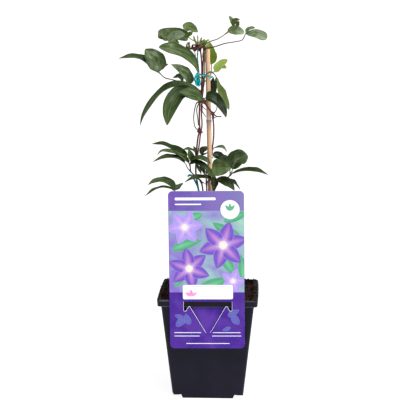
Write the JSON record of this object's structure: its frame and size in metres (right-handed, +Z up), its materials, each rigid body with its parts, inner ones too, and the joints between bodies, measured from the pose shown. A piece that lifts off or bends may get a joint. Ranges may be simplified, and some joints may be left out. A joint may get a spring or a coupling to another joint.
{
  "type": "potted clematis plant",
  "caption": "Young climbing clematis tied to a bamboo cane in a square black nursery pot of soil, with a plant card clipped over the pot's lip.",
  "frame": {"origin": "middle of the pot's foot, on the surface that it stands on", "axes": "+Z up along the cane, -Y the side with the plant card, +X to the right as seen from that side"},
  "size_m": [0.1968, 0.1316, 0.49],
  "materials": {
    "pot_plastic": "satin black nursery plastic with a faint blue cast",
    "soil": "moist dark peat and bark compost, rough",
    "bamboo": "dry pale bamboo with a satin skin",
    "card_print": "smooth printed plastic card, violet",
    "tie": "soft turquoise plastic tie",
    "vine": "dark green satin leaves on red-brown stems"
  },
  "bodies": {
    "root": {"pot": "pot_plastic", "soil": "soil", "cane": "bamboo", "card": "card_print", "tie_upper": "tie", "tie_lower": "tie", "vine_left": "vine", "vine_right": "vine", "vine_back": "vine", "vine_low_left": "vine", "vine_low_right": "vine"}
  },
  "joints": []
}
